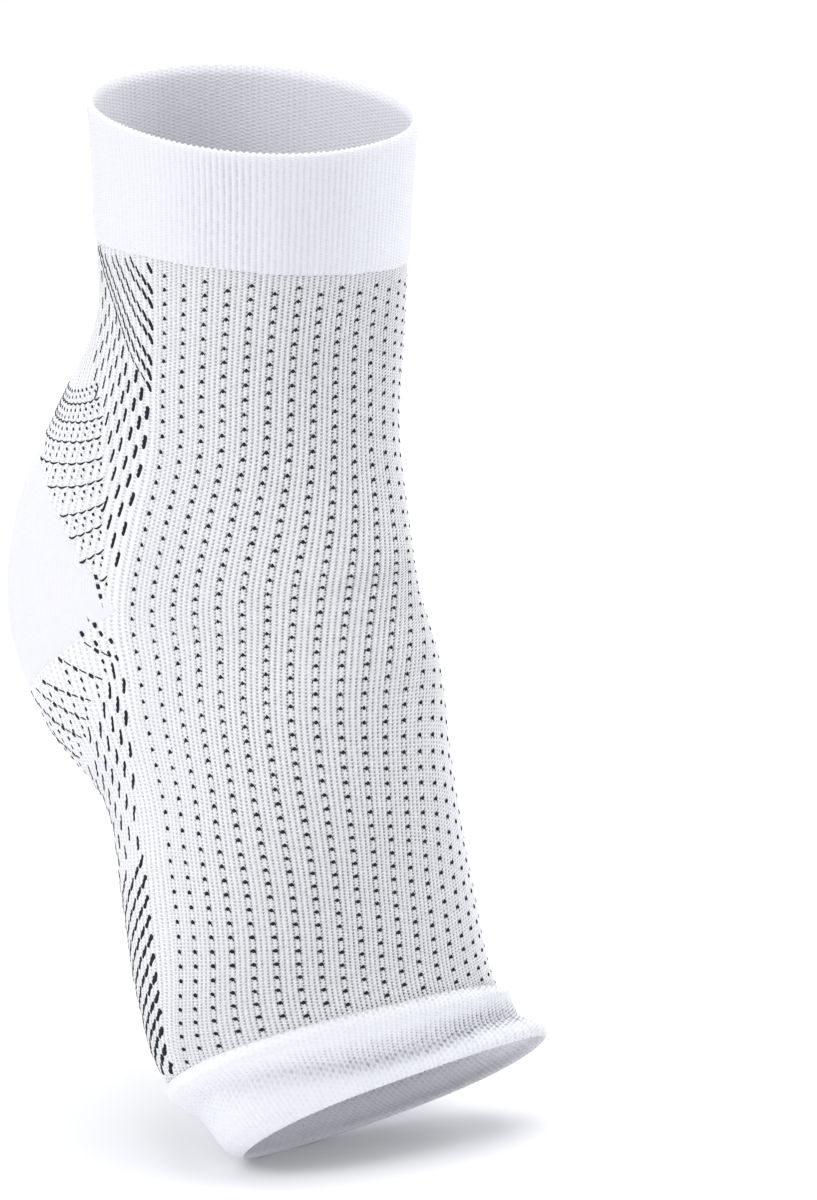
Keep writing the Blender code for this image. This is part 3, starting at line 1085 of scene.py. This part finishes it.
BAND_RIBS = 160
BAND_POINTS = 6
BAND_RIB_HEIGHT = 0.00016
BAND_WALL = 0.0018
BAND_SWELL = 0.0032
BAND_ROWS = 44
BAND_COURSE = 0.0009
# Columns: share of the way from the sleeve to the free edge, and the swell there
BAND_PROFILE = ((0.00, -0.35), (0.03, 0.05), (0.08, 0.52), (0.15, 0.68), (0.25, 0.48), (0.38, 0.00),
                (0.50, -0.48), (0.56, -0.52), (0.63, -0.05), (0.72, 0.50), (0.84, 0.80), (0.94, 0.70),
                (1.00, 0.20))
PROFILE_CREASE = 0.56
# Columns: share of the way round from the front, then the crease's share of the way to the edge, its
# depth, the strength of the ribs and of their painted shade, and how far they lean aside in ribs
BAND_ROUND = (
    (-0.50, 0.56, 0.4, 0.5, 0.0), (-0.30, 0.50, 0.4, 0.3, 0.0), (-0.22, 0.38, 0.6, 0.3, -1.5),
    (-0.15, 0.46, 1.0, 0.4, -3.0), (-0.05, 0.72, 1.0, 0.9, -4.0), (0.03, 0.76, 0.9, 1.1, -3.5),
    (0.10, 0.66, 0.7, 1.5, -1.5), (0.18, 0.58, 0.6, 1.8, 1.5), (0.30, 0.56, 0.6, 1.0, 0.5),
    (0.50, 0.56, 0.4, 0.5, 0.0),
)


def build_band():
    """The band's outside from the sleeve to its edge, round the edge and up the inside."""
    wale = np.arange(BAND_RIBS * BAND_POINTS) / BAND_POINTS
    closing = np.concatenate((wale, [BAND_RIBS]))
    turns = wale / BAND_RIBS
    around = (turns + 0.5) % 1.0 - 0.5
    crease, depth, strength, lean = (from_table(BAND_ROUND, around, k) for k in range(1, 5))
    joint = BAND_WIDTH - FOOT_LENGTH
    loops = [(share, 1.0) for share in np.linspace(0.0, 1.0, BAND_ROWS)]
    loops.extend((share, -1.0) for share in np.linspace(1.0, -0.02, BAND_ROWS // 2))
    rows = []
    courses = []
    plain = []
    for share, side in loops:
        station = joint - BAND_WIDTH * share
        course = share * BAND_WIDTH / BAND_COURSE
        gather = 0.5 * np.cos(math.pi * wale) * np.clip(strength - 1.0, 0.0, 1.0)
        gather = gather * min(1.0, 2.0 * share)
        rib = np.cos(2 * math.pi * wale) * (1.0 + 0.4 * wavering(wale, course, 3.0))
        rib = (rib + gather) * strength
        above = share / crease * PROFILE_CREASE
        below = PROFILE_CREASE + (share - crease) / (1.0 - crease) * (1.0 - PROFILE_CREASE)
        profile = from_table(BAND_PROFILE, np.where(share < crease, above, below))
        swell = BAND_SWELL * (0.45 + (profile - 0.45) * np.where(profile < 0.45, depth, 1.0))
        if side < 0:
            swell = swell - BAND_WALL * min(1.0, 0.35 + (1.0 - share) * 12)
        leaning = turns + lean * share / BAND_RIBS
        ring_here = ring(station, leaning)
        ring_next = ring(station - 0.0005, leaning)
        closed = np.concatenate((ring_here[-1:], ring_here, ring_here[:1]))
        across = np.gradient(closed, axis=0)[1:-1]
        normals = unit(np.cross(ring_next - ring_here, across))
        out = swell + side * BAND_RIB_HEIGHT * rib
        rows.append(ring_here + normals * out[:, None])
        courses.append(course)
        # Painted shade: the stitches' painted shade is deepened where the band sinks into its valley
        # and kept faint on the bulges and the rolled edge, standing in for the shade that falls there.
        painted_shade_strength = strength * (0.4 + 1.6 * np.clip((0.5 - profile) / 0.7, 0.0, 1.0))
        plain.append(1.0 - np.concatenate((painted_shade_strength, painted_shade_strength[:1])))
    knit = knit_places(closing, courses, np.array(plain))
    mesh = grid_mesh("toe_band_knit", np.array(rows), knit, True)
    material = knit_material("band yarn", (0.87, 0.87, 0.91), groove_shade=0.12, hole_shade=0.0,
                             stitch_shade=0.12, course_depth=0.00006, stitch_slope=0.12)
    band = add_piece("toe_band_knit", mesh, material)
    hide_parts("toe_band")


build_band()


# THE STUDIO
# A pale plain floor under the sock, soft light from the left, the right and above, and a camera
# that looks a little down at the sock's outer front.

FLOOR_LEVEL = -0.1492
CAMERA_PLACE = (-0.85105, -0.90819, 0.37753)
CAMERA_RIGHT = Vector((0.70711, -0.70711, 0.0))
CAMERA_UP = Vector((0.20674, 0.20674, 0.95630))
CAMERA_LENS = 146.25


def area_light(name, place, aim, size, power, colour):
    """A square soft light that faces a point."""
    lamp = bpy.data.lights.new(name, "AREA")
    lamp.shape = "SQUARE"
    lamp.size = size
    lamp.energy = power
    lamp.color = colour
    item = bpy.data.objects.new(name, lamp)
    item.location = place
    item.rotation_euler = (Vector(aim) - Vector(place)).to_track_quat("-Z", "Y").to_euler()
    bpy.context.scene.collection.objects.link(item)


def build_studio():
    """Floor, lights, sky and camera."""
    bpy.ops.mesh.primitive_plane_add(size=40.0, location=(0.0, 0.0, FLOOR_LEVEL))
    floor = bpy.context.active_object
    floor.name = "floor"
    material = bpy.data.materials.new("floor")
    material.use_nodes = True
    surface = material.node_tree.nodes["Principled BSDF"]
    surface.inputs["Base Color"].default_value = (0.92, 0.92, 0.93, 1.0)
    surface.inputs["Roughness"].default_value = 0.9
    surface.inputs["Specular IOR Level"].default_value = 0.1
    floor.data.materials.append(material)
    area_light("key", (-2.2, 0.6, 1.9), (0.0, 0.0, 0.0), 1.6, 34.0, (1.0, 1.0, 1.0))
    area_light("top", (0.4, -0.2, 3.0), (0.0, 0.0, 0.0), 2.4, 55.0, (0.97, 0.98, 1.0))
    area_light("fill", (1.7, -0.8, 0.9), (0.0, 0.0, 0.0), 1.2, 12.0, (0.98, 0.99, 1.0))
    world = bpy.data.worlds.new("sky")
    bpy.context.scene.world = world
    world.use_nodes = True
    sky = world.node_tree.nodes["Background"]
    sky.inputs["Color"].default_value = (0.96, 0.97, 1.0, 1.0)
    sky.inputs["Strength"].default_value = 0.66
    bpy.context.scene.view_settings.view_transform = "Standard"
    lens = bpy.data.cameras.new("camera")
    lens.lens = CAMERA_LENS
    lens.sensor_width = 36.0
    lens.sensor_fit = "AUTO"
    lens.clip_start = 0.05
    camera = bpy.data.objects.new("camera", lens)
    bpy.context.scene.collection.objects.link(camera)
    facing = Matrix((CAMERA_RIGHT, CAMERA_UP, CAMERA_RIGHT.cross(CAMERA_UP))).transposed()
    camera.matrix_world = Matrix.Translation(CAMERA_PLACE) @ facing.to_4x4()
    bpy.context.scene.camera = camera


build_studio()
